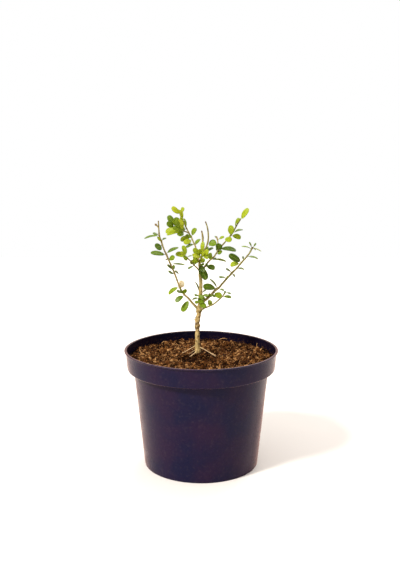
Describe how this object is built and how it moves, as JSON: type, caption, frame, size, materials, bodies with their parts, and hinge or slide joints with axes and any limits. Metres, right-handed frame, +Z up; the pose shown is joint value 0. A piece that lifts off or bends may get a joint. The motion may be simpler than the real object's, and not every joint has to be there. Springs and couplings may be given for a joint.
{
  "type": "potted common boxwood bonsai",
  "caption": "Young common boxwood trained as a bonsai, with a slim bare trunk, upright branches, small oval leaves and surface roots, growing in peaty soil in a round dark plastic nursery pot.",
  "frame": {"origin": "on the pot's axis, at the underside of its foot ring", "axes": "+Z up along the pot's axis, -Y towards the front of the plant, +X to the right seen from the front"},
  "size_m": [0.21, 0.21, 0.3563],
  "materials": {
    "pot_plastic": "satin",
    "potting_soil": "matte",
    "bark": "matte",
    "old_leaf": "satin",
    "young_leaf": "satin",
    "withered_leaf": "matte"
  },
  "bodies": {
    "root": {"nursery_pot": "pot_plastic", "potting_soil": "potting_soil", "trunk_branches_and_roots": "bark", "crown_left_leaf_01": "old_leaf", "crown_left_leaf_02": "old_leaf", "crown_left_leaf_03": "young_leaf", "crown_left_leaf_04": "young_leaf", "crown_left_leaf_05": "young_leaf", "crown_left_leaf_06": "young_leaf", "crown_left_leaf_07": "young_leaf", "crown_left_leaf_08": "young_leaf", "crown_right_leaf_01": "old_leaf", "crown_right_leaf_02": "young_leaf", "crown_right_leaf_03": "old_leaf", "crown_right_leaf_04": "old_leaf", "crown_right_leaf_05": "old_leaf", "crown_right_leaf_06": "young_leaf", "crown_right_leaf_07": "young_leaf", "crown_right_leaf_08": "young_leaf", "crown_right_leaf_09": "young_leaf", "crown_spur_leaf_01": "old_leaf", "crown_spur_leaf_02": "young_leaf", "crown_spur_leaf_03": "young_leaf", "crown_spur_leaf_04": "old_leaf", "crown_spur_leaf_05": "old_leaf", "leader_leaf_01": "old_leaf", "leader_leaf_02": "old_leaf", "leader_leaf_03": "old_leaf", "leader_leaf_04": "young_leaf", "leader_leaf_05": "young_leaf", "leader_leaf_06": "old_leaf", "leader_leaf_07": "old_leaf", "leader_leaf_08": "old_leaf", "leader_leaf_09": "young_leaf", "left_branch_leaf_01": "old_leaf", "left_branch_leaf_02": "old_leaf", "left_branch_leaf_03": "young_leaf", "left_branch_leaf_04": "young_leaf", "left_branch_leaf_05": "old_leaf", "left_branch_leaf_06": "young_leaf", "left_branch_leaf_07": "old_leaf", "left_branch_leaf_08": "old_leaf", "left_branch_leaf_09": "old_leaf", "left_branch_leaf_10": "old_leaf", "long_right_leaf_01": "old_leaf", "long_right_leaf_02": "old_leaf", "long_right_leaf_03": "young_leaf", "long_right_leaf_04": "old_leaf", "long_right_leaf_05": "young_leaf", "low_right_leaf_01": "young_leaf", "side_twig_leaf_01": "young_leaf", "side_twig_leaf_02": "old_leaf", "side_twig_leaf_03": "young_leaf", "side_twig_leaf_04": "young_leaf", "side_twig_leaf_05": "young_leaf", "stub_twig_leaf_01": "old_leaf", "tall_twig_leaf_01": "young_leaf", "tall_twig_leaf_02": "young_leaf", "tall_twig_leaf_03": "young_leaf", "withered_leaf": "withered_leaf"}
  },
  "joints": []
}
